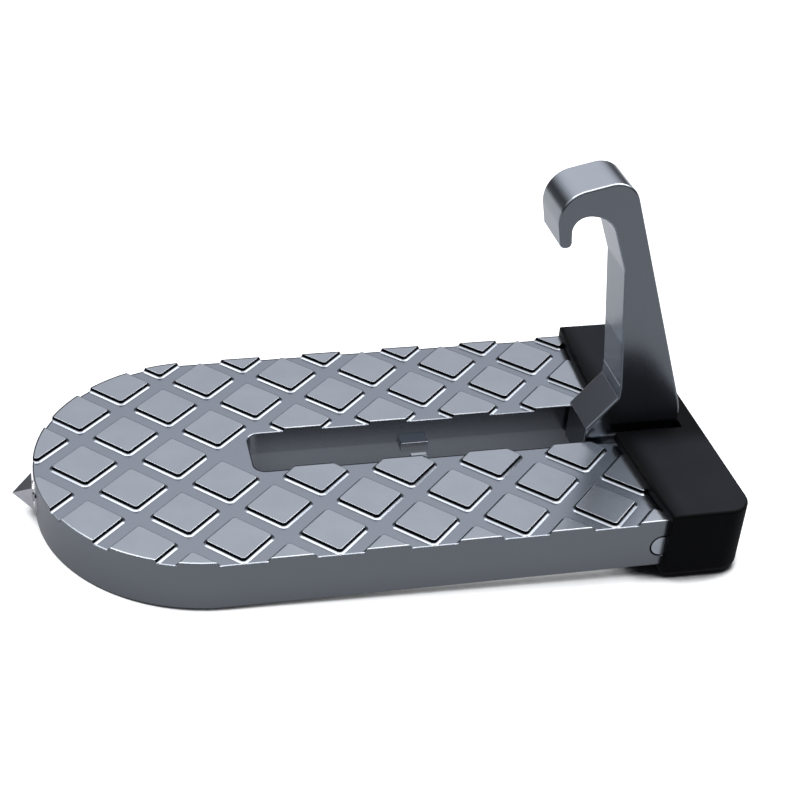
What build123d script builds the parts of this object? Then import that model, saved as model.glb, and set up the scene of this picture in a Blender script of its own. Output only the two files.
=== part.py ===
from build123d import *
from math import acos, atan2, ceil, cos, degrees, hypot, radians, sin, tan
import os

# A fold-up car door step: a cast pedal with a hinged striker hook, a rubber boot and a glass hammer.
# Millimetres. The hook's throat drops over the door latch striker, the boot leans on the door sill.
# X runs from the hammer nose (-) to the boot (+), Z is up, the origin is at the bottom centre.

# Pedal casting
pedal_width = 84.0
pedal_height = 13.4
shoulder_length = 151.0
tongue_inset = 2.0
outer_wall = 3.0
plate_thickness = 2.4
rib_thickness = 1.8
rib_pitch = 24.0
rib_depth = 4.0
side_rib_offset = 25.5
pocket_corner_radius = 1.2
tongue_rear_wall = 2.0

# Raised lozenges of the tread
lozenge_pitch = 22.3
lozenge_side = 11.7
lozenge_height = 1.0
lozenge_draft = 20.0
lozenge_corner_radius = 1.1
first_lozenge_x = 12.3

# Slot that takes the folded hook
head_clearance = 14.4
slot_width = 16.0
slot_corner_radius = 3.0
slot_wall = 2.8
heel_clearance = 0.25

# Hinge
pin_diameter = 6.0
pin_to_shoulder = 3.6
pin_drop = 7.7
pin_seat_clearance = 0.02
pin_running_clearance = 0.05
pin_beam_width = 12.0
pin_end_recess = 0.2
pin_end_chamfer = 0.4
washer_diameter = 11.0
side_play = 0.05

# Hook arm, its corners measured from the hinge pin along X and Z
hook_thickness = 13.0
hook_fillet = 0.5
foot_radius = 5.4
toe_x = -8.6
toe_low_z = -1.0
toe_high_z = 10.2
toe_radius = 2.0
knee_x = -1.15
knee_low_z = 19.2
knee_high_z = 22.7
kink_x = -5.15
kink_z = 56.0
kink_radius = 3.0
neck_lean = 20.0
throat_top_z = 71.3
throat_back_radius = 7.5
throat_front_radius = 3.7
nib_inside_x = -20.25
nib_inside_lean = 6.0
nib_outside_x = -24.8
nib_outside_low_x = -22.3
nib_low_z = 63.35
nib_radius = 1.2
crown_front_z = 76.44
crown_slope = 13.0
crown_front_radius = 7.5
crown_back_radius = 6.5
heel_x = 17.05
heel_z = 12.4
back_lean = 18.8
heel_radius = 18.0
heel_low_x = 14.8
heel_low_z = 4.6
heel_low_radius = 2.5

# Catches cast into the slot: a ledge under the folded shank and a lip beside its back
ledge_setback = 50.0
ledge_length = 7.2
ledge_height = 2.5
ledge_reach = 2.2
ledge_clearance = 0.15
lip_setback = 52.6
lip_length = 4.1
lip_height = 3.0
lip_clearance = 0.2
lip_bite = 0.4

# Rubber boot
boot_side = 1.6
boot_top = 2.3
boot_floor = 3.4
boot_rear = 3.4
boot_overlap = 2.8
boot_bow = 2.2
boot_corner_radius = 6.0
boot_top_fillet = 0.8
boot_bottom_fillet = 2.0
boot_slot_clearance = 0.4
boot_floor_notch = 8.0

# Boot screws
screw_spacing = 54.0
screw_diameter = 3.5
screw_depth = 8.0
screw_head_diameter = 7.0
screw_head_height = 1.7
screw_head_recess = 0.4
screw_clearance = 0.05
screw_boss_wall = 2.4
cross_recess_width = 1.1
cross_recess_length = 4.0
cross_recess_depth = 0.9

# Hammer tip
tip_length = 5.4
tip_blunt_share = 0.98
tip_diagonal = 10.4
tip_collar_diameter = 11.2
tip_collar_height = 0.6
tip_axis_drop = 7.1
tip_shank_diameter = 5.0
tip_shank_length = 11.0
tip_clearance = 0.05
tip_boss_wall = 3.0
tip_boss_spare = 1.5

hook_half = hook_thickness / 2


def tangent_point(x, z, radius, side):
    """Point where the line from x, z touches a circle about the pin, side 1 or -1 choosing which."""
    turn = degrees(atan2(z, x)) + side * degrees(acos(radius / hypot(x, z)))
    return (radius * cos(radians(turn)), radius * sin(radians(turn)))


def meeting_point(x1, z1, angle1, x2, z2, angle2):
    """Point where two lines meet, each given by a point and an angle in degrees."""
    a1 = radians(angle1)
    a2 = radians(angle2)
    reach = ((x2 - x1) * sin(a2) - (z2 - z1) * cos(a2)) / sin(a2 - a1)
    return (x1 + reach * cos(a1), z1 + reach * sin(a1))


def hook_profile():
    """Side profile of the hook in the X-Z plane, with the hinge pin at the origin."""
    throat_back = meeting_point(kink_x, kink_z, 90 + neck_lean, 0, throat_top_z, 0)
    nib_inside_low_x = nib_inside_x + (throat_top_z - nib_low_z) * tan(radians(nib_inside_lean))
    crown_back = meeting_point(nib_outside_x, crown_front_z, crown_slope, heel_x, heel_z, 90 + back_lean)
    foot_back = tangent_point(heel_low_x, heel_low_z, foot_radius, -1)
    foot_toe = tangent_point(toe_x, toe_low_z, foot_radius, 1)
    corners = [
        (foot_back, 0),
        ((heel_low_x, heel_low_z), heel_low_radius),
        ((heel_x, heel_z), heel_radius),
        (crown_back, crown_back_radius),
        ((nib_outside_x, crown_front_z), crown_front_radius),
        ((nib_outside_low_x, nib_low_z), nib_radius),
        ((nib_inside_low_x, nib_low_z), nib_radius),
        ((nib_inside_x, throat_top_z), throat_front_radius),
        (throat_back, throat_back_radius),
        ((kink_x, kink_z), kink_radius),
        ((knee_x, knee_high_z), 0),
        ((knee_x, knee_low_z), 0),
        ((toe_x, toe_high_z), 0),
        ((toe_x, toe_low_z), toe_radius),
        (foot_toe, 0),
    ]
    points = [point for point, radius in corners]
    sides = FilletPolyline(*points, radius=[radius for point, radius in corners[1:-1]])
    foot = ThreePointArc(foot_toe, (0, -foot_radius), foot_back)
    return make_face([sides, foot])


# The heel's reach sets the slot's end and so the length of everything behind the pin.
hook_bounds = hook_profile().bounding_box()
tongue_length = hook_bounds.max.X + heel_clearance + tongue_rear_wall - pin_to_shoulder
overall_length = tip_length + shoulder_length + tongue_length + boot_rear
nose_x = tip_length - overall_length / 2
floor_z = boot_floor
tread_z = floor_z + pedal_height
groove_z = tread_z - lozenge_height
pocket_top_z = groove_z - plate_thickness
rib_root_z = groove_z - plate_thickness / 2
half_width = pedal_width / 2
nose_centre_x = nose_x + half_width
shoulder_x = nose_x + shoulder_length
tongue_end_x = shoulder_x + tongue_length
tongue_width = pedal_width - 2 * tongue_inset
pin_x = shoulder_x - pin_to_shoulder
pin_z = tread_z - pin_drop
slot_start_x = pin_x - hook_bounds.max.Y - head_clearance
slot_end_x = tongue_end_x - tongue_rear_wall
tip_z = tread_z - tip_axis_drop
tip_seat_x = nose_x + tip_collar_height
boot_front_x = shoulder_x - boot_overlap
screw_x = shoulder_x + tongue_length / 2


def pedal_outline(end_x, half):
    """Plan of the pedal: a half-round nose and straight sides."""
    straight = end_x - nose_centre_x
    sides = Pos(nose_centre_x + straight / 2) * Rectangle(straight, 2 * half)
    return Pos(nose_centre_x) * Circle(half) + sides


def slot_outline(extra):
    """Plan of the slot with its rounded front corners, wider all round by extra."""
    length = slot_end_x - slot_start_x + 2 * extra
    plan = Pos((slot_end_x + slot_start_x) / 2) * Rectangle(length, slot_width + 2 * extra)
    front_corners = plan.vertices().group_by(Axis.X)[0]
    return fillet(front_corners, slot_corner_radius + extra)


def prism(plan, bottom_z, top_z):
    """Upright solid on a plan between two heights."""
    return extrude(Pos(0, 0, bottom_z) * plan, top_z - bottom_z)


def lozenges():
    """Tapered lozenges in a diagonal lattice, cut off by the rim, the shoulder and the slot."""
    plan = fillet(Rectangle(lozenge_side, lozenge_side).vertices(), lozenge_corner_radius)
    one = extrude(Rot(0, 0, 45) * plan, lozenge_height, taper=lozenge_draft)
    half_pitch = lozenge_pitch / 2
    rows = ceil(half_width / half_pitch)
    columns = ceil(shoulder_length / lozenge_pitch)
    spots = []
    for row in range(-rows, rows + 1):
        for column in range(-1, columns + 1):
            x = nose_x + first_lozenge_x + column * lozenge_pitch + (row % 2) * half_pitch
            before_slot = x + half_pitch < slot_start_x
            if row != 0 or before_slot:
                spots.append(Pos(x, row * half_pitch, groove_z))
    field = Part() + [spot * one for spot in spots]
    clip = prism(pedal_outline(shoulder_x, half_width) - slot_outline(0), groove_z, tread_z)
    return field & clip


def rib_plan():
    """Cross ribs at a pitch and one long rib on each side of the slot."""
    ribs = Sketch()
    length = shoulder_length - pin_to_shoulder
    for step in range(1, ceil(length / rib_pitch)):
        ribs += Pos(nose_x + step * rib_pitch) * Rectangle(rib_thickness, pedal_width)
    for side in (-1, 1):
        ribs += Pos(nose_x + length / 2, side * side_rib_offset) * Rectangle(length, rib_thickness)
    return ribs & pedal_outline(pin_x, half_width - outer_wall / 2)


def pocket_plan():
    """Plan of the hollows under the plate, clear of the outer wall, the slot wall and the pin beam."""
    beam_front_x = pin_x - pin_beam_width / 2
    beam_rear_x = pin_x + pin_beam_width / 2
    main = pedal_outline(beam_front_x, half_width - outer_wall) - slot_outline(slot_wall)
    plan = offset(offset(main, -pocket_corner_radius), pocket_corner_radius)
    rear_length = slot_end_x - beam_rear_x
    slot_side_y = slot_width / 2 + slot_wall
    rear_width = tongue_width / 2 - outer_wall - slot_side_y
    rear = RectangleRounded(rear_length, rear_width, pocket_corner_radius)
    for side in (-1, 1):
        plan += Pos(beam_rear_x + rear_length / 2, side * (slot_side_y + rear_width / 2)) * rear
    return plan


def catches():
    """Ledge on the far slot wall under the folded shank, and lip on the near wall."""
    wall_y = slot_width / 2
    bite = slot_wall / 2
    front_lean = atan2(knee_x - kink_x, kink_z - knee_high_z)
    front_offset = knee_x * cos(front_lean) + knee_high_z * sin(front_lean)
    ledge_z = pin_z + front_offset - ledge_clearance - ledge_height / 2
    ledge = Pos(pin_x - ledge_setback, wall_y + (bite - ledge_reach) / 2, ledge_z) * Box(
        ledge_length, ledge_reach + bite, ledge_height
    )
    lip_reach = wall_y - hook_half - lip_clearance
    lip = Pos(pin_x - lip_setback, -wall_y - (lip_bite - lip_reach) / 2, tread_z - lip_height / 2) * Box(
        lip_length, lip_reach + lip_bite, lip_height
    )
    return ledge + lip


def pedal_casting():
    """Cast tread with a ribbed underside, the slot and the seats for pin, tip, boot and screws."""
    body = prism(pedal_outline(shoulder_x, half_width), floor_z, groove_z)
    tongue = Pos(shoulder_x + tongue_length / 2) * Rectangle(tongue_length, tongue_width)
    body += prism(tongue, floor_z, groove_z)
    body -= prism(pocket_plan(), floor_z, pocket_top_z)
    body += prism(rib_plan(), pocket_top_z - rib_depth, rib_root_z)
    for side in (-1, 1):
        boss = Pos(screw_x, side * screw_spacing / 2) * Circle(screw_diameter / 2 + screw_boss_wall)
        body += prism(boss, floor_z, groove_z)
    boss_length = tip_shank_length + tip_boss_spare
    boss_width = tip_shank_diameter + 2 * tip_boss_wall
    nose_boss = Pos(tip_seat_x + outer_wall / 2 + boss_length / 2) * Rectangle(boss_length, boss_width)
    body += prism(nose_boss, floor_z, rib_root_z)
    body += lozenges()
    body -= prism(slot_outline(0), floor_z, tread_z)
    body += catches()
    pin_hole = Cylinder(pin_diameter / 2 + pin_seat_clearance, pedal_width)
    body -= Pos(pin_x, 0, pin_z) * Rot(90, 0, 0) * pin_hole
    seat = Cylinder(tip_collar_diameter / 2 + tip_clearance, tip_collar_height)
    body -= Pos(nose_x + tip_collar_height / 2, 0, tip_z) * Rot(0, 90, 0) * seat
    bore_length = tip_shank_length + tip_clearance
    bore = Cylinder(tip_shank_diameter / 2 + tip_clearance, bore_length)
    body -= Pos(tip_seat_x + bore_length / 2, 0, tip_z) * Rot(0, 90, 0) * bore
    for side in (-1, 1):
        hole = Pos(screw_x, side * screw_spacing / 2) * Circle(screw_diameter / 2 + screw_clearance)
        body -= prism(hole, floor_z, floor_z + screw_depth + screw_clearance)
    return body


def hook_arm():
    """Cast hook with softened side edges and a running bore for the pin."""
    blank = extrude(Plane.XZ * hook_profile(), hook_half, both=True)
    sides = blank.faces().sort_by(Axis.Y)
    blank = fillet(sides[0].edges() + sides[-1].edges(), hook_fillet)
    blank -= Rot(90, 0, 0) * Cylinder(pin_diameter / 2 + pin_running_clearance, hook_thickness)
    return Pos(pin_x, 0, pin_z) * blank


def hinge_pin():
    """Steel cross pin, its ends just below the side walls."""
    length = pedal_width - 2 * pin_end_recess
    pin = Rot(90, 0, 0) * Cylinder(pin_diameter / 2, length)
    pin = chamfer(pin.edges().filter_by(GeomType.CIRCLE), pin_end_chamfer)
    return Pos(pin_x, 0, pin_z) * pin


def hinge_washer(side):
    """Spacer washer that fills the slot beside the hook."""
    thickness = slot_width / 2 - hook_half - 2 * side_play
    middle_y = side * (hook_half + side_play + thickness / 2)
    hole = Cylinder(pin_diameter / 2 + pin_running_clearance, thickness)
    return Pos(pin_x, middle_y, pin_z) * Rot(90, 0, 0) * (Cylinder(washer_diameter / 2, thickness) - hole)


def boot_plan():
    """Plan of the boot: round rear corners and a front edge that bows toward the nose."""
    half = half_width + boot_side
    rear_x = tongue_end_x + boot_rear
    bow = ThreePointArc((boot_front_x, half), (boot_front_x - boot_bow, 0), (boot_front_x, -half))
    rest = Polyline((boot_front_x, -half), (rear_x, -half), (rear_x, half), (boot_front_x, half))
    plan = make_face([bow, rest])
    return fillet(plan.vertices().group_by(Axis.X)[-1], boot_corner_radius)


def rubber_boot():
    """Moulded bumper that slips over the tongue and laps the pedal's sides, tread and underside."""
    boot = prism(boot_plan(), 0, tread_z + boot_top)
    boot = fillet(boot.faces().sort_by(Axis.Z)[-1].edges(), boot_top_fillet)
    boot = fillet(boot.faces().sort_by(Axis.Z)[0].edges(), boot_bottom_fillet)
    boot -= prism(pedal_outline(shoulder_x, half_width), floor_z, tread_z)
    tongue = Pos(shoulder_x + tongue_length / 2) * Rectangle(tongue_length, tongue_width)
    boot -= prism(tongue, floor_z, groove_z)
    opening = slot_outline(boot_slot_clearance)
    boot -= prism(opening, groove_z, tread_z + boot_top)
    notch_start = boot_front_x - boot_bow
    notch_length = pin_x + boot_floor_notch - notch_start
    notch = Pos(notch_start + notch_length / 2) * Rectangle(notch_length, slot_width)
    boot -= prism(notch, 0, floor_z)
    for side in (-1, 1):
        spot = Pos(screw_x, side * screw_spacing / 2)
        boot -= prism(spot * Circle(screw_diameter / 2 + screw_clearance), 0, floor_z)
        head_top = screw_head_recess + screw_head_height
        boot -= prism(spot * Circle(screw_head_diameter / 2 + screw_clearance), 0, head_top)
    return boot


def boot_screws():
    """Two pan-head screws that hold the boot up to the bosses of the tongue."""
    head_top = screw_head_recess + screw_head_height
    screws = []
    for side in (-1, 1):
        head = prism(Circle(screw_head_diameter / 2), screw_head_recess, head_top)
        shank = prism(Circle(screw_diameter / 2), head_top, floor_z + screw_depth)
        cross = Rectangle(cross_recess_width, cross_recess_length)
        cross += Rectangle(cross_recess_length, cross_recess_width)
        recess = prism(cross, screw_head_recess, screw_head_recess + cross_recess_depth)
        screws.append(Pos(screw_x, side * screw_spacing / 2) * (head + shank - recess))
    return Compound(screws)


def hammer_tip():
    """Hardened four-sided point on a thin collar, with a round shank in the nose boss."""
    base = Plane(origin=(nose_x, 0, tip_z), x_dir=(0, 1, 0), z_dir=(-1, 0, 0))
    square = Rot(0, 0, 45) * Rectangle(tip_diagonal / 2**0.5, tip_diagonal / 2**0.5)
    slope = degrees(atan2(tip_diagonal / 2**1.5, tip_length))
    point = extrude(base * square, tip_length * tip_blunt_share, taper=slope)
    collar = Pos(nose_x + tip_collar_height / 2, 0, tip_z) * Rot(0, 90, 0) * Cylinder(
        tip_collar_diameter / 2, tip_collar_height
    )
    shank = Pos(tip_seat_x + tip_shank_length / 2, 0, tip_z) * Rot(0, 90, 0) * Cylinder(
        tip_shank_diameter / 2, tip_shank_length
    )
    return point + collar + shank


parts = {
    "pedal_casting": pedal_casting(),
    "hook_arm": hook_arm(),
    "hinge_pin": hinge_pin(),
    "near_hinge_washer": hinge_washer(-1),
    "far_hinge_washer": hinge_washer(1),
    "rubber_boot": rubber_boot(),
    "boot_screws": boot_screws(),
    "hammer_tip": hammer_tip(),
}

os.makedirs("parts", exist_ok=True)
for name, shape in parts.items():
    export_step(shape, f"parts/{name}.step")
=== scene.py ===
import logging
import math
from dataclasses import dataclass
from enum import Enum

import bmesh
import bpy
from mathutils import Euler, Matrix, Vector


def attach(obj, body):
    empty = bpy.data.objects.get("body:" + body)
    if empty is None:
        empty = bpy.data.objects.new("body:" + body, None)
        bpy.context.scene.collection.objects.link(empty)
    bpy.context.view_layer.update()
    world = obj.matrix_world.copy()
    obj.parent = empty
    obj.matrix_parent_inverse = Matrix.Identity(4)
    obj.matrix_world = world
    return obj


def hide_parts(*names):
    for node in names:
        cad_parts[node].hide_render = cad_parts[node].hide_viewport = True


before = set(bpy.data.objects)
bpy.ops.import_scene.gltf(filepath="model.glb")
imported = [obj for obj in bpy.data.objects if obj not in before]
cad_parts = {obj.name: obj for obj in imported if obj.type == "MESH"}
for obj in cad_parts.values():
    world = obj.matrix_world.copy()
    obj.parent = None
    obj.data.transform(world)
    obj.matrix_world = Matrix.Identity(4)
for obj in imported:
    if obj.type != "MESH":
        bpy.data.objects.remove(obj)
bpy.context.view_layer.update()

MM = 0.001
# Node options that many finishes share, and the two values that a noise mostly stays between.
COLOURS = {"data_type": "RGBA"}
DIRECTIONS = {"data_type": "VECTOR"}
SMOOTH = {"interpolation_type": "SMOOTHSTEP"}
EDGE_RAYS = {"samples": 6}
NOISE_LOW = 0.3
NOISE_HIGH = 0.7
log = logging.getLogger("door_step")


class Slot(Enum):
    """The record's material slots."""

    TREAD = "tread_metal"
    HOOK = "hook_metal"
    STEEL = "steel"
    TIP = "tip_steel"
    RUBBER = "boot_rubber"


def linear(hex_colour: str) -> tuple[float, float, float, float]:
    """Turns an sRGB hex colour into linear light.

    Args:
        hex_colour: six hex digits, such as "A3A8B0".

    Returns:
        Red, green, blue and an alpha of 1.
    """
    parts = [int(hex_colour[i : i + 2], 16) / 255 for i in (0, 2, 4)]
    light = [c / 12.92 if c <= 0.04045 else ((c + 0.055) / 1.055) ** 2.4 for c in parts]
    return (light[0], light[1], light[2], 1.0)


def per_metre(size_mm: float) -> float:
    """Gives the pattern scale on metre coordinates for a real feature size in millimetres."""
    return 1.0 / (size_mm * MM)


def add(
    tree: bpy.types.NodeTree, kind: str, settings: str | dict | None = None, **inputs: object
) -> bpy.types.Node:
    """Adds a node, sets its options, and fills or links its inputs.

    Args:
        tree: the node tree that gets it.
        kind: the node's type name.
        settings: attributes of the node by name, or its operation alone.
        **inputs: values or output sockets for its inputs. A name's _ stands for a space,
            and i0, i1 and so on mean an input by its number.

    Returns:
        The new node.
    """
    node = tree.nodes.new(kind)
    if isinstance(settings, str):
        settings = {"operation": settings}
    for name, value in (settings or {}).items():
        setattr(node, name, value)
    for name, value in inputs.items():
        numbered = name[0] == "i" and name[1:].isdigit()
        socket = node.inputs[int(name[1:])] if numbered else node.inputs[name.replace("_", " ")]
        if isinstance(value, bpy.types.NodeSocket):
            tree.links.new(value, socket)
        else:
            socket.default_value = value
    return node


def new_material(name: str) -> tuple[bpy.types.Material, bpy.types.NodeTree, bpy.types.Node]:
    """Starts a material with a Principled shader.

    Args:
        name: the material's name.

    Returns:
        The material, its node tree and its Principled node.
    """
    made = bpy.data.materials.new(name)
    made.use_nodes = True
    return made, made.node_tree, made.node_tree.nodes["Principled BSDF"]


def dress(node_name: str, made: bpy.types.Material) -> bpy.types.Object:
    """Gives a CAD node a finish on every material slot that it has.

    Args:
        node_name: the CAD node.
        made: the finish.

    Returns:
        The node's object.
    """
    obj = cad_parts[node_name]
    for material_slot in obj.material_slots:
        material_slot.material = made
    return obj


def finished(
    mesh: bmesh.types.BMesh,
    name: str,
    made: bpy.types.Material,
    body: str,
    crisp_deg: float = 40.0,
) -> bpy.types.Object:
    """Turns a shaped bmesh into a smooth-shaded piece that rides on a body.

    Args:
        mesh: the shape, at its place.
        name: the piece's name.
        made: its finish.
        body: the body that carries it.
        crisp_deg: the angle between two faces past which their edge is drawn sharp.

    Returns:
        The piece's object.
    """
    bmesh.ops.recalc_face_normals(mesh, faces=mesh.faces)
    for face in mesh.faces:
        face.smooth = True
    data = bpy.data.meshes.new(name)
    mesh.to_mesh(data)
    mesh.free()
    data.set_sharp_from_angle(angle=math.radians(crisp_deg))
    data.materials.append(made)
    obj = bpy.data.objects.new(name, data)
    bpy.context.scene.collection.objects.link(obj)
    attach(obj, body)
    return obj


@dataclass(frozen=True)
class CastAluminium:
    """Die-cast and tumbled aluminium: satin and finely grained, with painted shade darkening its steep
    faces.
    """

    name: str
    bright: str
    dull: str
    steep_shade: str
    roughness: float
    grain_mm: float
    cloud_mm: float
    edge_mm: float
    grain_depth_mm: float
    grain_strength: float = 0.6
    gloss_spread: float = 0.03
    steep_rise: float = 0.35
    gentle_rise: float = 0.8

    def clouded(self, tree: bpy.types.NodeTree, place: bpy.types.NodeSocket) -> bpy.types.NodeSocket:
        """Mixes the bright and the dull metal in soft clouds.

        Args:
            tree: the node tree.
            place: the object coordinates.

        Returns:
            The colour.
        """
        cloud = add(tree, "ShaderNodeTexNoise", Vector=place, Scale=per_metre(self.cloud_mm), Detail=3.0)
        mixed = add(
            tree,
            "ShaderNodeMix",
            COLOURS,
            i0=cloud.outputs["Fac"],
            i6=linear(self.dull),
            i7=linear(self.bright),
        )
        return mixed.outputs[2]

    def toned(
        self, tree: bpy.types.NodeTree, place: bpy.types.NodeSocket, upward: bpy.types.NodeSocket
    ) -> bpy.types.NodeSocket:
        """Darkens the clouded metal where the surface is steep, as painted shade.

        Args:
            tree: the node tree.
            place: the object coordinates.
            upward: how far the face looks up.

        Returns:
            The colour.
        """
        # Painted shade: steep faces are mixed towards a darker grey.
        steep = add(
            tree,
            "ShaderNodeMapRange",
            Value=upward,
            From_Min=self.steep_rise,
            From_Max=self.gentle_rise,
            To_Min=1.0,
            To_Max=0.0,
        )
        mixed = add(
            tree,
            "ShaderNodeMix",
            COLOURS,
            i0=steep.outputs["Result"],
            i6=self.clouded(tree, place),
            i7=linear(self.steep_shade),
        )
        return mixed.outputs[2]

    def faced(
        self, tree: bpy.types.NodeTree, place: bpy.types.NodeSocket, upward: bpy.types.NodeSocket
    ) -> bpy.types.NodeSocket:
        """Softens every edge as a die and tumbling leave it.

        Args:
            tree: the node tree.
            place: the object coordinates; not used here.
            upward: how far the face looks up; not used here.

        Returns:
            The direction that the surface faces.
        """
        return add(tree, "ShaderNodeBevel", EDGE_RAYS, Radius=self.edge_mm * MM).outputs["Normal"]

    def build(self) -> bpy.types.Material:
        """Makes the material.

        Returns:
            The cast aluminium.
        """
        made, tree, shader = new_material(self.name)
        place = add(tree, "ShaderNodeTexCoord").outputs["Object"]
        grain = add(tree, "ShaderNodeTexNoise", Vector=place, Scale=per_metre(self.grain_mm), Detail=4.0)
        normal = add(tree, "ShaderNodeNewGeometry").outputs["True Normal"]
        upward = add(tree, "ShaderNodeSeparateXYZ", Vector=normal).outputs["Z"]
        gloss = add(
            tree,
            "ShaderNodeMapRange",
            Value=grain.outputs["Fac"],
            From_Min=NOISE_LOW,
            From_Max=NOISE_HIGH,
            To_Min=self.roughness - self.gloss_spread,
            To_Max=self.roughness + self.gloss_spread,
        )
        bump = add(
            tree,
            "ShaderNodeBump",
            Height=grain.outputs["Fac"],
            Distance=self.grain_depth_mm * MM,
            Strength=self.grain_strength,
            Normal=self.faced(tree, place, upward),
        )
        tree.links.new(self.toned(tree, place, upward), shader.inputs["Base Color"])
        tree.links.new(gloss.outputs["Result"], shader.inputs["Roughness"])
        tree.links.new(bump.outputs["Normal"], shader.inputs["Normal"])
        shader.inputs["Metallic"].default_value = 1.0
        return made


@dataclass(frozen=True)
class Lattice:
    """The lozenges' diagonal lattice, for finishes that follow each lozenge's foot."""

    first_x_mm: float = -69.619
    pitch_mm: float = 22.3
    side_mm: float = 11.7
    corner_mm: float = 1.1
    slot_start_mm: float = -28.495
    turn_deg: float = 45.0

    def around(
        self, tree: bpy.types.NodeTree, place: bpy.types.NodeSocket
    ) -> tuple[bpy.types.NodeSocket, bpy.types.NodeSocket, bpy.types.NodeSocket]:
        """Finds where a point lies from the nearest lozenge.

        Args:
            tree: the node tree.
            place: the object coordinates.

        Returns:
            The distance outside the lozenge's foot in metres, the direction away from it, and 1
            where that lozenge was left out for the slot.
        """
        spacing = self.pitch_mm * MM / math.sqrt(2)
        core = (self.side_mm / 2 - self.corner_mm) * MM
        moved = add(tree, "ShaderNodeVectorMath", "SUBTRACT", i0=place, i1=(self.first_x_mm * MM, 0, 0))
        turned = add(
            tree,
            "ShaderNodeVectorRotate",
            {"rotation_type": "Z_AXIS"},
            Vector=moved.outputs[0],
            Angle=math.radians(self.turn_deg),
        )
        counted = add(
            tree,
            "ShaderNodeVectorMath",
            "MULTIPLY_ADD",
            i0=turned.outputs[0],
            i1=(1 / spacing, 1 / spacing, 0),
            i2=(0.5, 0.5, 0),
        )
        cell = add(tree, "ShaderNodeVectorMath", "FLOOR", i0=counted.outputs[0])
        share = add(tree, "ShaderNodeVectorMath", "SUBTRACT", i0=counted.outputs[0], i1=cell.outputs[0])
        local = add(
            tree,
            "ShaderNodeVectorMath",
            "MULTIPLY_ADD",
            i0=share.outputs[0],
            i1=(spacing, spacing, 0),
            i2=(-spacing / 2, -spacing / 2, 0),
        )
        reach = add(tree, "ShaderNodeVectorMath", "ABSOLUTE", i0=local.outputs[0])
        past = add(tree, "ShaderNodeVectorMath", "SUBTRACT", i0=reach.outputs[0], i1=(core, core, 0))
        outside = add(tree, "ShaderNodeVectorMath", "MAXIMUM", i0=past.outputs[0], i1=(0, 0, 0))
        length = add(tree, "ShaderNodeVectorMath", "LENGTH", i0=outside.outputs[0])
        distance = add(
            tree, "ShaderNodeMath", "SUBTRACT", i0=length.outputs["Value"], i1=self.corner_mm * MM
        )
        side = add(tree, "ShaderNodeVectorMath", "SIGN", i0=local.outputs[0])
        unit = add(tree, "ShaderNodeVectorMath", "NORMALIZE", i0=outside.outputs[0])
        away = add(tree, "ShaderNodeVectorMath", "MULTIPLY", i0=unit.outputs[0], i1=side.outputs[0])
        home = add(
            tree,
            "ShaderNodeVectorRotate",
            {"rotation_type": "Z_AXIS"},
            Vector=away.outputs[0],
            Angle=math.radians(-self.turn_deg),
        )
        row = add(tree, "ShaderNodeVectorMath", "DOT_PRODUCT", i0=cell.outputs[0], i1=(1, -1, 0))
        middle_row = add(tree, "ShaderNodeMath", "COMPARE", i0=row.outputs["Value"], i1=0.0, i2=0.5)
        along = add(tree, "ShaderNodeSeparateXYZ", Vector=place).outputs["X"]
        by_slot = add(
            tree,
            "ShaderNodeMath",
            "GREATER_THAN",
            i0=along,
            i1=(self.slot_start_mm - self.pitch_mm / 2) * MM,
        )
        missing = add(tree, "ShaderNodeMath", "MULTIPLY", i0=middle_row.outputs[0], i1=by_slot.outputs[0])
        return distance.outputs[0], home.outputs[0], missing.outputs[0]


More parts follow.
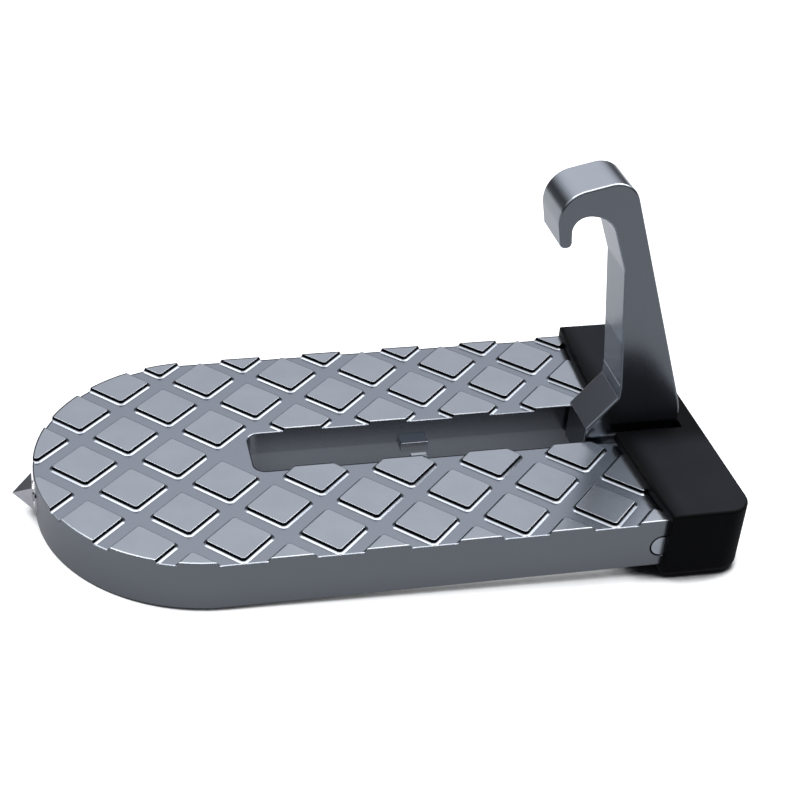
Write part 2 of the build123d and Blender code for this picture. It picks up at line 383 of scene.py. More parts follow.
@dataclass(frozen=True)
class TreadAluminium(CastAluminium):
    """The same metal with a relief: lozenge walls painted dark as shade, rounded feet, and grooves bluer
    than the tops.
    """

    valley: str = "AEB3BC"
    relief_wall_shade: str = "1A1C20"
    slot_wall_shade: str = "7E8288"
    slot_low_wall_shade: str = "8D9197"
    slot_seam_mm: float = 9.5
    slot_half_mm: float = 8.0
    slot_corner_mm: float = 3.0
    rim_half_mm: float = 42.0
    rim_centre_mm: float = -39.919
    broken_edge_mm: float = 0.5
    inner_corner_mm: float = 0.9
    ledge_over_mm: float = 12.0
    groove_mm: float = 15.8
    top_mm: float = 16.8
    fillet_start_mm: float = -0.1
    fillet_flat_mm: float = 0.34
    fillet_end_mm: float = 0.58
    fillet_slope: float = 0.6
    foot_height_mm: float = 0.5
    crown_margins_mm: tuple[float, float] = (0.2, 0.1)
    shade_margins_mm: tuple[float, float] = (0.02, 0.12)
    slot_margin_mm: float = 0.3
    touch_mm: float = 0.05
    wall_rise: float = 0.342
    wall_rise_spread: float = 0.2
    sheer_rise: tuple[float, float] = (0.2, 0.1)
    facing_rise: float = 0.15
    flat_rise: float = 0.9
    lattice: Lattice = Lattice()

    def toned(
        self, tree: bpy.types.NodeTree, place: bpy.types.NodeSocket, upward: bpy.types.NodeSocket
    ) -> bpy.types.NodeSocket:
        """Colours the tops, the grooves, the lozenges' walls and the side walls apart, painting shade on the
        walls.

        Args:
            tree: the node tree.
            place: the object coordinates.
            upward: how far the face looks up.

        Returns:
            The colour.
        """
        distance = self.lattice.around(tree, place)[0]
        height = add(tree, "ShaderNodeSeparateXYZ", Vector=place).outputs["Z"]
        crown = add(
            tree,
            "ShaderNodeMapRange",
            Value=height,
            From_Min=(self.groove_mm + self.crown_margins_mm[0]) * MM,
            From_Max=(self.top_mm - self.crown_margins_mm[1]) * MM,
        )
        level = add(
            tree,
            "ShaderNodeMix",
            COLOURS,
            i0=crown.outputs["Result"],
            i6=linear(self.valley),
            i7=self.clouded(tree, place),
        )
        # Painted shade: the lozenges' drafted walls turn near black.
        drafted = add(
            tree, "ShaderNodeMath", "COMPARE", i0=upward, i1=self.wall_rise, i2=self.wall_rise_spread
        )
        shaded = add(
            tree,
            "ShaderNodeMapRange",
            Value=distance,
            From_Min=(self.fillet_start_mm - self.shade_margins_mm[0]) * MM,
            From_Max=(self.fillet_start_mm + self.shade_margins_mm[1]) * MM,
            To_Min=1.0,
            To_Max=0.0,
        )
        wall = add(tree, "ShaderNodeMath", "MULTIPLY", i0=drafted.outputs[0], i1=shaded.outputs[0])
        # Painted shade: the upright walls take a darker grey.
        sheer = add(
            tree,
            "ShaderNodeMapRange",
            Value=upward,
            From_Min=self.sheer_rise[0],
            From_Max=self.sheer_rise[1],
        )
        sides = add(
            tree,
            "ShaderNodeMix",
            COLOURS,
            i0=sheer.outputs["Result"],
            i6=level.outputs[2],
            i7=self.walled(tree, place),
        )
        mixed = add(
            tree,
            "ShaderNodeMix",
            COLOURS,
            i0=wall.outputs[0],
            i6=sides.outputs[2],
            i7=linear(self.relief_wall_shade),
        )
        return mixed.outputs[2]

    def walled(self, tree: bpy.types.NodeTree, place: bpy.types.NodeSocket) -> bpy.types.NodeSocket:
        """Colours the upright walls with painted shade, darker in the slot and lighter below a line partway
        down it.

        Args:
            tree: the node tree.
            place: the object coordinates.

        Returns:
            The colour.
        """
        axes = add(tree, "ShaderNodeSeparateXYZ", Vector=place).outputs
        across = add(tree, "ShaderNodeMath", "ABSOLUTE", i0=axes["Y"])
        between = add(
            tree,
            "ShaderNodeMath",
            "LESS_THAN",
            i0=across.outputs[0],
            i1=(self.slot_half_mm + self.slot_margin_mm) * MM,
        )
        behind = add(
            tree,
            "ShaderNodeMath",
            "GREATER_THAN",
            i0=axes["X"],
            i1=(self.lattice.slot_start_mm - self.slot_margin_mm) * MM,
        )
        inside = add(tree, "ShaderNodeMath", "MULTIPLY", i0=between.outputs[0], i1=behind.outputs[0])
        low = add(
            tree,
            "ShaderNodeMapRange",
            Value=axes["Z"],
            From_Min=(self.slot_seam_mm + self.slot_margin_mm) * MM,
            From_Max=(self.slot_seam_mm - self.slot_margin_mm) * MM,
        )
        shaft = add(
            tree,
            "ShaderNodeMix",
            COLOURS,
            i0=low.outputs["Result"],
            i6=linear(self.slot_wall_shade),
            i7=linear(self.slot_low_wall_shade),
        )
        # Painted shade: inside the slot the walls are darker still.
        mixed = add(
            tree, "ShaderNodeMix", COLOURS, i0=inside.outputs[0], i6=linear(self.steep_shade), i7=shaft.outputs[2]
        )
        return mixed.outputs[2]

    def rim_lean(self, tree: bpy.types.NodeTree, place: bpy.types.NodeSocket) -> bpy.types.NodeSocket:
        """Leans the surface outwards where the rim's sharp edge was broken by hand.

        Args:
            tree: the node tree.
            place: the object coordinates.

        Returns:
            The lean to add to the surface's direction.
        """
        moved = add(tree, "ShaderNodeVectorMath", "SUBTRACT", i0=place, i1=(self.rim_centre_mm * MM, 0, 0))
        nose = add(tree, "ShaderNodeVectorMath", "MINIMUM", i0=moved.outputs[0], i1=(0, 1, 0))
        flat = add(tree, "ShaderNodeVectorMath", "MULTIPLY", i0=nose.outputs[0], i1=(1, 1, 0))
        reach = add(tree, "ShaderNodeVectorMath", "LENGTH", i0=flat.outputs[0])
        outward = add(tree, "ShaderNodeVectorMath", "NORMALIZE", i0=flat.outputs[0])
        near = add(
            tree,
            "ShaderNodeMapRange",
            SMOOTH,
            Value=reach.outputs["Value"],
            From_Min=(self.rim_half_mm - self.broken_edge_mm) * MM,
            From_Max=(self.rim_half_mm - self.broken_edge_mm / 2) * MM,
            To_Max=self.fillet_slope,
        )
        lean = add(tree, "ShaderNodeVectorMath", "SCALE", i0=outward.outputs[0], Scale=near.outputs[0])
        return lean.outputs[0]

    def slot_lean(self, tree: bpy.types.NodeTree, place: bpy.types.NodeSocket) -> bpy.types.NodeSocket:
        """Leans the surface into the slot where the slot's sharp edge was broken by hand.

        Args:
            tree: the node tree.
            place: the object coordinates.

        Returns:
            The lean to add to the surface's direction.
        """
        sides = add(tree, "ShaderNodeVectorMath", "SIGN", i0=place)
        folded = add(tree, "ShaderNodeVectorMath", "ABSOLUTE", i0=place)
        across = add(tree, "ShaderNodeSeparateXYZ", Vector=folded.outputs[0]).outputs["Y"]
        along = add(tree, "ShaderNodeSeparateXYZ", Vector=place).outputs["X"]
        ahead = add(
            tree,
            "ShaderNodeMath",
            "SUBTRACT",
            i0=(self.lattice.slot_start_mm + self.slot_corner_mm) * MM,
            i1=along,
        )
        beside = add(
            tree, "ShaderNodeMath", "SUBTRACT", i0=across, i1=(self.slot_half_mm - self.slot_corner_mm) * MM
        )
        corner = add(tree, "ShaderNodeCombineXYZ", X=ahead.outputs[0], Y=beside.outputs[0])
        outside = add(tree, "ShaderNodeVectorMath", "MAXIMUM", i0=corner.outputs[0], i1=(0, 0, 0))
        reach = add(tree, "ShaderNodeVectorMath", "LENGTH", i0=outside.outputs[0])
        unit = add(tree, "ShaderNodeVectorMath", "NORMALIZE", i0=outside.outputs[0])
        flipped = add(tree, "ShaderNodeVectorMath", "MULTIPLY", i0=sides.outputs[0], i1=(0, -1, 0))
        turned = add(tree, "ShaderNodeVectorMath", "ADD", i0=flipped.outputs[0], i1=(1, 0, 0))
        inward = add(tree, "ShaderNodeVectorMath", "MULTIPLY", i0=unit.outputs[0], i1=turned.outputs[0])
        near = add(
            tree,
            "ShaderNodeMapRange",
            SMOOTH,
            Value=reach.outputs["Value"],
            From_Min=(self.slot_corner_mm + self.broken_edge_mm / 2) * MM,
            From_Max=(self.slot_corner_mm + self.broken_edge_mm) * MM,
            To_Min=self.fillet_slope,
            To_Max=0.0,
        )
        past = add(
            tree,
            "ShaderNodeMath",
            "GREATER_THAN",
            i0=reach.outputs["Value"],
            i1=(self.slot_corner_mm - self.touch_mm) * MM,
        )
        share = add(tree, "ShaderNodeMath", "MULTIPLY", i0=near.outputs[0], i1=past.outputs[0])
        lean = add(tree, "ShaderNodeVectorMath", "SCALE", i0=inward.outputs[0], Scale=share.outputs[0])
        return lean.outputs[0]

    def uncut(
        self,
        tree: bpy.types.NodeTree,
        place: bpy.types.NodeSocket,
        height: bpy.types.NodeSocket,
        edges: bpy.types.NodeSocket,
    ) -> bpy.types.NodeSocket:
        """Leaves the inner corner between the slot's wall and its ledge sharp and dark.

        Args:
            tree: the node tree.
            place: the object coordinates.
            height: their height.
            edges: the softened direction.

        Returns:
            The direction that the surface faces.
        """
        across = add(tree, "ShaderNodeSeparateXYZ", Vector=place).outputs["Y"]
        by_wall = add(
            tree,
            "ShaderNodeMath",
            "COMPARE",
            i0=across,
            i1=self.slot_half_mm * MM,
            i2=self.inner_corner_mm * MM,
        )
        below = add(tree, "ShaderNodeMath", "LESS_THAN", i0=height, i1=self.ledge_over_mm * MM)
        buried = add(tree, "ShaderNodeMath", "MULTIPLY", i0=by_wall.outputs[0], i1=below.outputs[0])
        plain = add(tree, "ShaderNodeNewGeometry").outputs["True Normal"]
        mixed = add(tree, "ShaderNodeMix", DIRECTIONS, i0=buried.outputs[0], i4=edges, i5=plain)
        return mixed.outputs[1]

    def faced(
        self, tree: bpy.types.NodeTree, place: bpy.types.NodeSocket, upward: bpy.types.NodeSocket
    ) -> bpy.types.NodeSocket:
        """Adds the cast fillet at each lozenge's foot to the softened edges.

        Args:
            tree: the node tree.
            place: the object coordinates.
            upward: how far the face looks up.

        Returns:
            The direction that the surface faces.
        """
        height = add(tree, "ShaderNodeSeparateXYZ", Vector=place).outputs["Z"]
        edges = self.uncut(tree, place, height, CastAluminium.faced(self, tree, place, upward))
        distance, away, missing = self.lattice.around(tree, place)
        lean = add(
            tree,
            "ShaderNodeMapRange",
            SMOOTH,
            Value=distance,
            From_Min=self.fillet_flat_mm * MM,
            From_Max=self.fillet_end_mm * MM,
            To_Min=self.fillet_slope,
            To_Max=0.0,
        )
        tilted = add(tree, "ShaderNodeVectorMath", "SCALE", i0=away, Scale=lean.outputs["Result"])
        raised = add(tree, "ShaderNodeVectorMath", "ADD", i0=tilted.outputs[0], i1=(0, 0, 1))
        fillet = add(tree, "ShaderNodeVectorMath", "NORMALIZE", i0=raised.outputs[0])
        past_wall = add(tree, "ShaderNodeMath", "GREATER_THAN", i0=distance, i1=self.fillet_start_mm * MM)
        near_foot = add(tree, "ShaderNodeMath", "LESS_THAN", i0=distance, i1=self.fillet_end_mm * MM)
        on_tread = add(
            tree, "ShaderNodeMath", "GREATER_THAN", i0=height, i1=(self.groove_mm - self.touch_mm) * MM
        )
        at_foot = add(
            tree, "ShaderNodeMath", "LESS_THAN", i0=height, i1=(self.groove_mm + self.foot_height_mm) * MM
        )
        facing_up = add(tree, "ShaderNodeMath", "GREATER_THAN", i0=upward, i1=self.facing_rise)
        present = add(tree, "ShaderNodeMath", "SUBTRACT", i0=1.0, i1=missing)
        share = present.outputs[0]
        for test in (past_wall, near_foot, on_tread, at_foot, facing_up):
            share = add(tree, "ShaderNodeMath", "MULTIPLY", i0=share, i1=test.outputs[0]).outputs[0]
        mixed = add(tree, "ShaderNodeMix", DIRECTIONS, i0=share, i4=edges, i5=fillet.outputs[0])
        leans = add(
            tree,
            "ShaderNodeVectorMath",
            "ADD",
            i0=self.rim_lean(tree, place),
            i1=self.slot_lean(tree, place),
        )
        level = add(tree, "ShaderNodeMath", "GREATER_THAN", i0=upward, i1=self.flat_rise)
        broken = add(tree, "ShaderNodeMath", "MULTIPLY", i0=level.outputs[0], i1=on_tread.outputs[0])
        leant = add(tree, "ShaderNodeVectorMath", "SCALE", i0=leans.outputs[0], Scale=broken.outputs[0])
        total = add(tree, "ShaderNodeVectorMath", "ADD", i0=mixed.outputs[1], i1=leant.outputs[0])
        return add(tree, "ShaderNodeVectorMath", "NORMALIZE", i0=total.outputs[0]).outputs[0]


@dataclass(frozen=True)
class ShankAluminium(CastAluminium):
    """The same metal on the hook, darker on the front of its foot below a ragged line."""

    foot_front_tone: str = "6E7278"
    foot_top_mm: float = 44.5
    tone_fade_mm: tuple[float, float] = (2.0, 1.0)
    ragged_mm: float = 5.0
    ragged_height_mm: float = 3.0
    front_way: tuple[float, float] = (-0.6, -0.9)

    def toned(
        self, tree: bpy.types.NodeTree, place: bpy.types.NodeSocket, upward: bpy.types.NodeSocket
    ) -> bpy.types.NodeSocket:
        """Darkens the front of the hook below a ragged line.

        Args:
            tree: the node tree.
            place: the object coordinates.
            upward: how far the face looks up.

        Returns:
            The colour.
        """
        normal = add(tree, "ShaderNodeNewGeometry").outputs["True Normal"]
        forward = add(tree, "ShaderNodeSeparateXYZ", Vector=normal).outputs["X"]
        in_front = add(
            tree, "ShaderNodeMapRange", Value=forward, From_Min=self.front_way[0], From_Max=self.front_way[1]
        )
        ragged = add(tree, "ShaderNodeTexNoise", Vector=place, Scale=per_metre(self.ragged_mm), Detail=3.0)
        height = add(tree, "ShaderNodeSeparateXYZ", Vector=place).outputs["Z"]
        lifted = add(
            tree,
            "ShaderNodeMath",
            "MULTIPLY_ADD",
            i0=ragged.outputs["Fac"],
            i1=self.ragged_height_mm * MM,
            i2=height,
        )
        low = add(
            tree,
            "ShaderNodeMapRange",
            SMOOTH,
            Value=lifted.outputs[0],
            From_Min=(self.foot_top_mm + self.tone_fade_mm[0]) * MM,
            From_Max=(self.foot_top_mm + self.tone_fade_mm[1]) * MM,
        )
        share = add(
            tree, "ShaderNodeMath", "MULTIPLY", i0=in_front.outputs["Result"], i1=low.outputs["Result"]
        )
        mixed = add(
            tree,
            "ShaderNodeMix",
            COLOURS,
            i0=share.outputs[0],
            i6=CastAluminium.toned(self, tree, place, upward),
            i7=linear(self.foot_front_tone),
        )
        return mixed.outputs[2]


@dataclass(frozen=True)
class MouldedRubber:
    """Compression-moulded rubber: matt black with a fine spark grain and a soft grey sheen."""

    name: str
    black: str
    top_grey: str
    roughness: float
    sheen_level: float
    grain_mm: float
    edge_mm: float
    hook_shade_half_mm: float = 8.5
    dark_front_mm: float = 65.0
    dark_front_fade_mm: float = 6.0
    cloud_mm: float = 14.0
    thinnest_top_grey: float = 0.75
    top_rise: float = 0.93
    grain_depth_mm: float = 0.03
    grain_strength: float = 0.5

    def build(self) -> bpy.types.Material:
        """Makes the material.

        Returns:
            The moulded rubber.
        """
        made, tree, shader = new_material(self.name)
        place = add(tree, "ShaderNodeTexCoord").outputs["Object"]
        cloud = add(tree, "ShaderNodeTexNoise", Vector=place, Scale=per_metre(self.cloud_mm), Detail=4.0)
        grain = add(tree, "ShaderNodeTexNoise", Vector=place, Scale=per_metre(self.grain_mm), Detail=3.0)
        normal = add(tree, "ShaderNodeNewGeometry").outputs["Normal"]
        upward = add(tree, "ShaderNodeSeparateXYZ", Vector=normal).outputs["Z"]
        facing_top = add(tree, "ShaderNodeMapRange", Value=upward, From_Min=self.top_rise, From_Max=1.0)
        axes = add(tree, "ShaderNodeSeparateXYZ", Vector=place).outputs
        across = add(tree, "ShaderNodeMath", "ABSOLUTE", i0=axes["Y"])
        # Painted shade: the grey top stays black beside the slot, where the hook shades it.
        beside = add(
            tree,
            "ShaderNodeMapRange",
            SMOOTH,
            Value=across.outputs[0],
            From_Min=self.hook_shade_half_mm * MM,
            From_Max=2 * self.hook_shade_half_mm * MM,
        )
        # The grey top also stays black near the boot's front edge.
        back = add(
            tree,
            "ShaderNodeMapRange",
            SMOOTH,
            Value=axes["X"],
            From_Min=self.dark_front_mm * MM,
            From_Max=(self.dark_front_mm + self.dark_front_fade_mm) * MM,
        )
        patchy = add(
            tree,
            "ShaderNodeMapRange",
            Value=cloud.outputs["Fac"],
            From_Min=NOISE_LOW,
            From_Max=NOISE_HIGH,
            To_Min=self.thinnest_top_grey,
            To_Max=1.0,
        )
        share = facing_top.outputs["Result"]
        for part in (patchy, beside, back):
            share = add(tree, "ShaderNodeMath", "MULTIPLY", i0=share, i1=part.outputs["Result"]).outputs[0]
        colour = add(tree, "ShaderNodeMix", COLOURS, i0=share, i6=linear(self.black), i7=linear(self.top_grey))
        rounded = add(tree, "ShaderNodeBevel", EDGE_RAYS, Radius=self.edge_mm * MM)
        bump = add(
            tree,
            "ShaderNodeBump",
            Height=grain.outputs["Fac"],
            Distance=self.grain_depth_mm * MM,
            Strength=self.grain_strength,
            Normal=rounded.outputs["Normal"],
        )
        tree.links.new(colour.outputs[2], shader.inputs["Base Color"])
        tree.links.new(bump.outputs["Normal"], shader.inputs["Normal"])
        shader.inputs["Roughness"].default_value = self.roughness
        shader.inputs["Specular IOR Level"].default_value = self.sheen_level
        return made


@dataclass(frozen=True)
class TurnedSteel:
    """Turned or ground steel: bright metal with a thin uneven haze."""

    name: str
    bright: str
    dull: str
    roughness: float
    edge_mm: float
    haze_mm: float = 1.6

    def build(self) -> bpy.types.Material:
        """Makes the material.

        Returns:
            The steel.
        """
        made, tree, shader = new_material(self.name)
        place = add(tree, "ShaderNodeTexCoord").outputs["Object"]
        haze = add(tree, "ShaderNodeTexNoise", Vector=place, Scale=per_metre(self.haze_mm), Detail=4.0)
        colour = add(
            tree,
            "ShaderNodeMix",
            COLOURS,
            i0=haze.outputs["Fac"],
            i6=linear(self.dull),
            i7=linear(self.bright),
        )
        rounded = add(tree, "ShaderNodeBevel", EDGE_RAYS, Radius=self.edge_mm * MM)
        tree.links.new(colour.outputs[2], shader.inputs["Base Color"])
        tree.links.new(rounded.outputs["Normal"], shader.inputs["Normal"])
        shader.inputs["Roughness"].default_value = self.roughness
        shader.inputs["Metallic"].default_value = 1.0
        return made


# Cast aluminium, tumbled with stones: an even satin grey with soft clouds of duller metal, bright where
# an edge was broken, with painted shade: darker grey on the upright walls and near black on the lozenges'
# walls. The real grain is about 0.1 mm and is drawn at 0.45 mm so that it shows.
TREAD = TreadAluminium("tumbled_cast_aluminium", "D0D4DA", "C0C4CB", "999DA1", 0.24, 0.45, 7.0, 0.42, 0.012)
# The same alloy, rubbed on a belt after tumbling: smoother than the tread, so the crown shows clear bands of
# light. Its sides carry painted shade, and the front of its foot is darker below a ragged line. The real
# grain of 0.1 mm is drawn at 0.35 mm.
HOOK = ShankAluminium("satin_cast_aluminium", "E0E4EA", "D0D4DB", "92969B", 0.19, 0.35, 16.0, 0.4, 0.015)
# Natural rubber filled with soot and pressed in a spark-eroded mould: nearly black on its walls, with a thin
# grey tone on the flat top, held back to black beside the slot as painted shade of the hook and near the
# front edge. The mould's pits of about 0.1 mm are drawn at 0.5 mm.
RUBBER = MouldedRubber("moulded_black_rubber", "010102", "202228", 0.55, 0.1, 0.5, 0.35)
# Turned low-carbon steel, zinc plated and passivated: pale, slightly blue and brighter than the casting.
STEEL = TurnedSteel("zinc_plated_steel", "E8EDF4", "D4DAE2", 0.3, 0.15)
# The pin's rim beside its domed end, painted near black as the shade of the narrow gap around the dome: a
# dark line.
PIN_SHADE = TurnedSteel("pin_gap_shade_steel", "2A2C30", "1C1E22", 0.4, 0.1)
# Tool steel, hardened and ground on four sides: flat facets like dark and light mirrors.
TIP = TurnedSteel("ground_hardened_steel", "EAEAEC", "D2D2D5", 0.08, 0.06)


@dataclass
class Pedal:
    """The cast pedal: its tread, its walls and its ribbed underside."""

    finish: CastAluminium = TREAD

    def build(self) -> list[bpy.types.Object]:
        """Dresses the casting.

        Returns:
            The finished pieces.
        """
        return [dress("pedal_casting", self.finish.build())]


@dataclass
class Hook:
    """The folding hook arm, with the witness line that its die leaves across the knee."""

    finish: CastAluminium = HOOK
    knee_mm: tuple[float, float] = (64.331, 31.8)
    line_length_mm: float = 12.2
    line_radius_mm: float = 0.22
    line_sides: int = 12

    def witness_line(self, made: bpy.types.Material) -> bpy.types.Object:
        """Makes the thin raised line across the front of the knee.

        Args:
            made: the hook's metal.

        Returns:
            The line's object.
        """
        mesh = bmesh.new()
        bmesh.ops.create_cone(
            mesh,
            cap_ends=True,
            segments=self.line_sides,
            radius1=self.line_radius_mm * MM,
            radius2=self.line_radius_mm * MM,
            depth=self.line_length_mm * MM,
        )
        bmesh.ops.rotate(mesh, matrix=Matrix.Rotation(math.radians(90), 3, "X"), verts=mesh.verts)
        bmesh.ops.translate(mesh, vec=(self.knee_mm[0] * MM, 0, self.knee_mm[1] * MM), verts=mesh.verts)
        return finished(mesh, "hook_witness_line", made, "hook")

    def build(self) -> list[bpy.types.Object]:
        """Dresses the hook and adds the line.

        Returns:
            The finished pieces.
        """
        made = self.finish.build()
        return [dress("hook_arm", made), self.witness_line(made)]


@dataclass
class Fastenings:
    """The hinge pin with its domed ends, its two washers and the screws of the boot."""

    finish: TurnedSteel = STEEL
    pin_finish: TurnedSteel = PIN_SHADE
    pin_mm: tuple[float, float] = (65.481, 9.1)
    end_y_mm: float = 41.75
    dome_radius_mm: float = 2.62
    dome_height_mm: float = 0.22
    rings: int = 6
    sides: int = 48

    def dome(self, name: str, side: int, made: bpy.types.Material) -> bpy.types.Object:
        """Makes the shallow dome on one end of the pin.

        Args:
            name: the piece's name.
            side: -1 for the near end, 1 for the far one.
            made: the pin's metal.

        Returns:
            The dome's object.
        """
        mesh = bmesh.new()
        bmesh.ops.create_circle(mesh, cap_ends=True, segments=self.sides, radius=self.dome_radius_mm * MM)
        step = self.dome_radius_mm / self.rings
        for ring in range(self.rings - 1):
            inner = 1 - (ring + 1) / self.rings
            outer = 1 - ring / self.rings
            rise = self.dome_height_mm * (outer**2 - inner**2)
            bmesh.ops.inset_region(mesh, faces=mesh.faces[-1:], thickness=step * MM, depth=rise * MM)
            mesh.faces.ensure_lookup_table()
        turn = Matrix.Rotation(math.radians(90 * -side), 4, "X")
        place = Matrix.Translation((self.pin_mm[0] * MM, side * self.end_y_mm * MM, self.pin_mm[1] * MM))
        bmesh.ops.transform(mesh, matrix=place @ turn, verts=mesh.verts)
        return finished(mesh, name, made, "pedal")

    def build(self) -> list[bpy.types.Object]:
        """Dresses the steel pieces and adds the pin's domed ends.

        Returns:
            The finished pieces.
        """
        made = self.finish.build()
        names = ("near_hinge_washer", "far_hinge_washer", "boot_screws")
        pieces = [dress(name, made) for name in names]
        # Painted shade: the whole pin is dark so that the gap around its domed ends reads as a shadowed
        # line.
        pieces.append(dress("hinge_pin", self.pin_finish.build()))
        pieces.append(self.dome("near_pin_end", -1, made))
        pieces.append(self.dome("far_pin_end", 1, made))
        return pieces


@dataclass
class HammerTip:
    """The glass-breaking tip at the nose: a square point with level flats, on a neck and a flush collar."""

    finish: TurnedSteel = TIP
    seat_mm: tuple[float, float] = (-81.919, 9.7)
    half_side_mm: float = 3.3
    apex_x_mm: float = -87.2
    base_x_mm: float = -82.35
    blunt_mm: float = 0.08
    neck_radius_mm: float = 2.6
    neck_overlaps_mm: tuple[float, float] = (0.3, 0.1)
    collar_radius_mm: float = 5.6
    collar_mm: float = 0.6
    shank_radius_mm: float = 2.5
    shank_mm: float = 11.0
    edge_mm: float = 0.12
    crisp_deg: float = 9.0
    point_sides: int = 4
    shank_sides: int = 48
    collar_sides: int = 64

    def turned(
        self,
        mesh: bmesh.types.BMesh,
        front_x_mm: float,
        back_x_mm: float,
        radii_mm: tuple[float, float],
        segments: int,
    ) -> None:
        """Adds one section of the tip, with its axis along X.

        Args:
            mesh: the mesh that gets it.
            front_x_mm: its end toward the point.
            back_x_mm: its end toward the pedal.
            radii_mm: its radius at the back and at the front.
            segments: its number of sides.
        """
        made = bmesh.ops.create_cone(
            mesh,
            cap_ends=True,
            segments=segments,
            radius1=radii_mm[0] * MM,
            radius2=radii_mm[1] * MM,
            depth=(back_x_mm - front_x_mm) * MM,
        )["verts"]
        middle = (front_x_mm + back_x_mm) / 2
        place = Matrix.Translation((middle * MM, 0.0, self.seat_mm[1] * MM))
        turn = Matrix.Rotation(math.radians(-90), 4, "Y") @ Matrix.Rotation(math.radians(45), 4, "Z")
        bmesh.ops.transform(mesh, matrix=place @ turn, verts=made)

    def build(self) -> list[bpy.types.Object]:
        """Makes the whole tip.

        Returns:
            The finished pieces.
        """
        mesh = bmesh.new()
        corner = math.sqrt(2)
        radii = (self.half_side_mm * corner, self.blunt_mm * corner)
        self.turned(mesh, self.apex_x_mm, self.base_x_mm, radii, self.point_sides)
        long_edges = [edge for edge in mesh.edges if edge.calc_length() > 2 * self.edge_mm * MM]
        bmesh.ops.bevel(
            mesh,
            geom=long_edges,
            offset=self.edge_mm * MM,
            segments=2,
            profile=0.5,
            affect="EDGES",
            material=-1,
            clamp_overlap=True,
        )
        seat_x = self.seat_mm[0]
        collar_x = seat_x + self.collar_mm
        lead, sink = self.neck_overlaps_mm
        rounds = (
            (self.base_x_mm - lead, seat_x + sink, self.neck_radius_mm, self.shank_sides),
            (seat_x, collar_x, self.collar_radius_mm, self.collar_sides),
            (collar_x, collar_x + self.shank_mm, self.shank_radius_mm, self.shank_sides),
        )
        for front_x, back_x, radius, sides in rounds:
            self.turned(mesh, front_x, back_x, (radius, radius), sides)
        piece = finished(mesh, "hammer_point", self.finish.build(), "pedal", self.crisp_deg)
        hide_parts("hammer_tip")
        return [piece]


@dataclass
class Boot:
    """The rubber boot at the hinge end."""

    finish: MouldedRubber = RUBBER

    def build(self) -> list[bpy.types.Object]:
        """Dresses the boot.

        Returns:
            The finished pieces.
        """
        return [dress("rubber_boot", self.finish.build())]


def fill_ramp(ramp: bpy.types.Node, tones: tuple[tuple[float, str], ...]) -> None:
    """Gives a colour ramp its stops.

    Args:
        ramp: the colour ramp's node.
        tones: each stop's place and colour, in order.
    """
    stops = ramp.color_ramp.elements
    stops[0].position, stops[0].color = tones[0][0], linear(tones[0][1])
    stops[1].position, stops[1].color = tones[-1][0], linear(tones[-1][1])
    for position, shade in tones[1:-1]:
        stops.new(position).color = linear(shade)


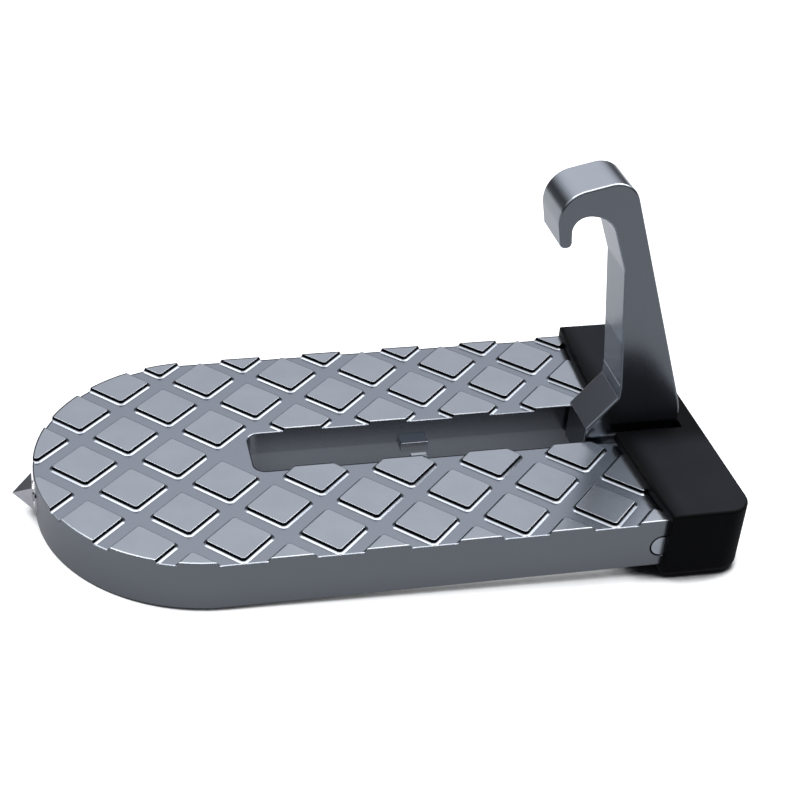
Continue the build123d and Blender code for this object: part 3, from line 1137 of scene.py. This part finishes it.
@dataclass
class Studio:
    """The pale floor, the soft lights and the camera."""

    nose_contact: tuple[float, float] = (-0.080, 0.0034)
    sole_contact: tuple[float, float] = (0.066, 0.0)
    floor_half: float = 6.0
    floor_drop: float = 0.0001
    floor_fade: float = 1.0
    contact_mm: float = 8.0
    contact_open: tuple[float, float] = (0.28, 0.5)
    gap_shade: float = 0.22
    gap_x: tuple[float, float] = (-0.03, 0.05)
    contact_shadow_tone: str = "0A0A0C"
    paper_tone: str = "FFFFFF"
    paper_glow: float = 0.4
    paper_roughness: float = 0.9
    floor_tones: tuple[tuple[float, str], ...] = (
        (0.2, "2A2B2E"),
        (0.36, "808286"),
        (0.47, "808286"),
        (0.55, "B6B7BA"),
        (0.64, "CACACC"),
        (0.85, "404246"),
    )
    sky_tones: tuple[tuple[float, str], ...] = (
        (0.0, "606266"),
        (0.1, "3A3C40"),
        (0.2, "505256"),
        (0.27, "7A7C80"),
        (0.36, "A2A6AE"),
        (0.5, "C8CCD4"),
        (0.75, "D2D6DC"),
        (1.0, "FFFFFF"),
    )
    flag_tone: str = "141518"
    flag_height: tuple[float, float] = (0.38, 0.24)
    flag_front: tuple[float, float] = (-0.3, -0.6)
    backdrop_tone: str = "FCFCFA"
    sensor_mm: float = 36.0
    near_clip: float = 0.01
    lens_mm: float = 69.2
    shift: float = 0.07
    eye: tuple[float, float, float] = (-0.07678, -0.30628, 0.2432)
    tilt_deg: tuple[float, float, float] = (55.793, -2.573, -11.385)
    box_height: float = 0.85
    softboxes: tuple[tuple[str, tuple[float, float], tuple[float, float], float], ...] = (
        ("left_box", (-0.525, 0.17), (0.35, 0.76), 2.2),
        ("middle_box", (0.0, 0.225), (0.7, 0.65), 0.5),
        ("front_box", (0.0, -0.24), (0.7, 0.28), 1.6),
        ("right_box", (0.825, 0.17), (0.95, 0.76), 5.9),
    )

    def paper(self) -> bpy.types.Material:
        """Makes the floor's paper: pale, with a painted contact shadow under the step, and grey where the
        metal mirrors it.

        Returns:
            The paper.
        """
        made, tree, shader = new_material("studio_paper")
        path = add(tree, "ShaderNodeLightPath").outputs["Is Camera Ray"]
        place = add(tree, "ShaderNodeTexCoord").outputs["Object"]
        spots = add(tree, "ShaderNodeSeparateXYZ", Vector=place).outputs
        fade = add(
            tree, "ShaderNodeMapRange", Value=spots["Y"], From_Min=-self.floor_fade, From_Max=self.floor_fade
        )
        bounce = add(tree, "ShaderNodeValToRGB", Fac=fade.outputs["Result"])
        fill_ramp(bounce, self.floor_tones)
        # Painted shadow: the paper seen by the camera turns near black where the step is close above it,
        # more so towards the boot.
        nearness = add(tree, "ShaderNodeAmbientOcclusion", {"samples": 12}, Distance=self.contact_mm * MM)
        raised = add(
            tree,
            "ShaderNodeMapRange",
            Value=spots["X"],
            From_Min=self.gap_x[0],
            From_Max=self.gap_x[1],
            To_Max=self.gap_shade,
        )
        seen = add(
            tree, "ShaderNodeMath", "SUBTRACT", i0=nearness.outputs["AO"], i1=raised.outputs["Result"]
        )
        open_floor = add(
            tree,
            "ShaderNodeMapRange",
            Value=seen.outputs[0],
            From_Min=self.contact_open[0],
            From_Max=self.contact_open[1],
        )
        paper = add(
            tree,
            "ShaderNodeMix",
            COLOURS,
            i0=open_floor.outputs["Result"],
            i6=linear(self.contact_shadow_tone),
            i7=linear(self.paper_tone),
        )
        colour = add(
            tree, "ShaderNodeMix", COLOURS, i0=path, i6=bounce.outputs["Color"], i7=paper.outputs[2]
        )
        tree.links.new(colour.outputs[2], shader.inputs["Emission Color"])
        tree.links.new(colour.outputs[2], shader.inputs["Base Color"])
        shader.inputs["Emission Strength"].default_value = self.paper_glow
        shader.inputs["Roughness"].default_value = self.paper_roughness
        return made

    def floor(self) -> None:
        """Lays the floor under the two places that the step stands on."""
        slope = (self.sole_contact[1] - self.nose_contact[1]) / (self.sole_contact[0] - self.nose_contact[0])
        mesh = bmesh.new()
        bmesh.ops.create_grid(mesh, x_segments=2, y_segments=2, size=self.floor_half)
        turn = Matrix.Rotation(-math.atan(slope), 4, "Y")
        place = Matrix.Translation((self.sole_contact[0], 0.0, self.sole_contact[1] - self.floor_drop))
        bmesh.ops.transform(mesh, matrix=place @ turn, verts=mesh.verts)
        data = bpy.data.meshes.new("studio_floor")
        mesh.to_mesh(data)
        mesh.free()
        obj = bpy.data.objects.new("studio_floor", data)
        bpy.context.scene.collection.objects.link(obj)
        data.materials.append(self.paper())

    def sky(self) -> None:
        """Surrounds the step with soft light that is strong above and weak in front."""
        world = bpy.data.worlds.new("studio_light")
        bpy.context.scene.world = world
        world.use_nodes = True
        tree = world.node_tree
        background = tree.nodes["Background"]
        way = add(tree, "ShaderNodeTexCoord").outputs["Generated"]
        axes = add(tree, "ShaderNodeSeparateXYZ", Vector=way).outputs
        ramp = add(tree, "ShaderNodeValToRGB", Fac=axes["Z"])
        fill_ramp(ramp, self.sky_tones)
        low = add(
            tree,
            "ShaderNodeMapRange",
            Value=axes["Z"],
            From_Min=self.flag_height[0],
            From_Max=self.flag_height[1],
        )
        front = add(
            tree,
            "ShaderNodeMapRange",
            Value=axes["Y"],
            From_Min=self.flag_front[0],
            From_Max=self.flag_front[1],
        )
        flag = add(tree, "ShaderNodeMath", "MULTIPLY", i0=front.outputs["Result"], i1=low.outputs["Result"])
        room = add(
            tree,
            "ShaderNodeMix",
            COLOURS,
            i0=flag.outputs[0],
            i6=ramp.outputs["Color"],
            i7=linear(self.flag_tone),
        )
        path = add(tree, "ShaderNodeLightPath").outputs["Is Camera Ray"]
        colour = add(
            tree, "ShaderNodeMix", COLOURS, i0=path, i6=room.outputs[2], i7=linear(self.backdrop_tone)
        )
        tree.links.new(colour.outputs[2], background.inputs["Color"])
        background.inputs["Strength"].default_value = 1.0

    def softbox(
        self, name: str, middle: tuple[float, float], size: tuple[float, float], watts: float
    ) -> None:
        """Hangs one soft light that faces straight down.

        Args:
            name: the light's name.
            middle: its middle along X and Y.
            size: its sizes along X and Y.
            watts: its power.
        """
        data = bpy.data.lights.new(name, "AREA")
        data.shape = "RECTANGLE"
        data.size, data.size_y = size
        data.energy = watts
        obj = bpy.data.objects.new(name, data)
        obj.location = (*middle, self.box_height)
        bpy.context.scene.collection.objects.link(obj)

    def camera(self) -> None:
        """Places the camera at the photograph's viewing angle."""
        data = bpy.data.cameras.new("camera")
        data.sensor_width = self.sensor_mm
        data.lens = self.lens_mm
        data.shift_x = self.shift
        data.clip_start = self.near_clip
        obj = bpy.data.objects.new("camera", data)
        obj.location = self.eye
        obj.rotation_euler = Euler([math.radians(a) for a in self.tilt_deg], "XYZ")
        bpy.context.scene.collection.objects.link(obj)
        bpy.context.scene.camera = obj

    def build(self) -> None:
        """Sets up the whole studio."""
        self.floor()
        self.sky()
        for softbox in self.softboxes:
            self.softbox(*softbox)
        self.camera()
        bpy.context.scene.view_settings.view_transform = "Standard"


def main() -> None:
    """Builds the step, piece by piece, and then the studio."""
    logging.basicConfig(level=logging.INFO, format="%(name)s: %(message)s")
    for assembly in (Pedal(), Hook(), Fastenings(), HammerTip(), Boot()):
        for piece in assembly.build():
            log.info("%s made %s", type(assembly).__name__, piece.name)
    Studio().build()


if __name__ == "__main__":
    main()
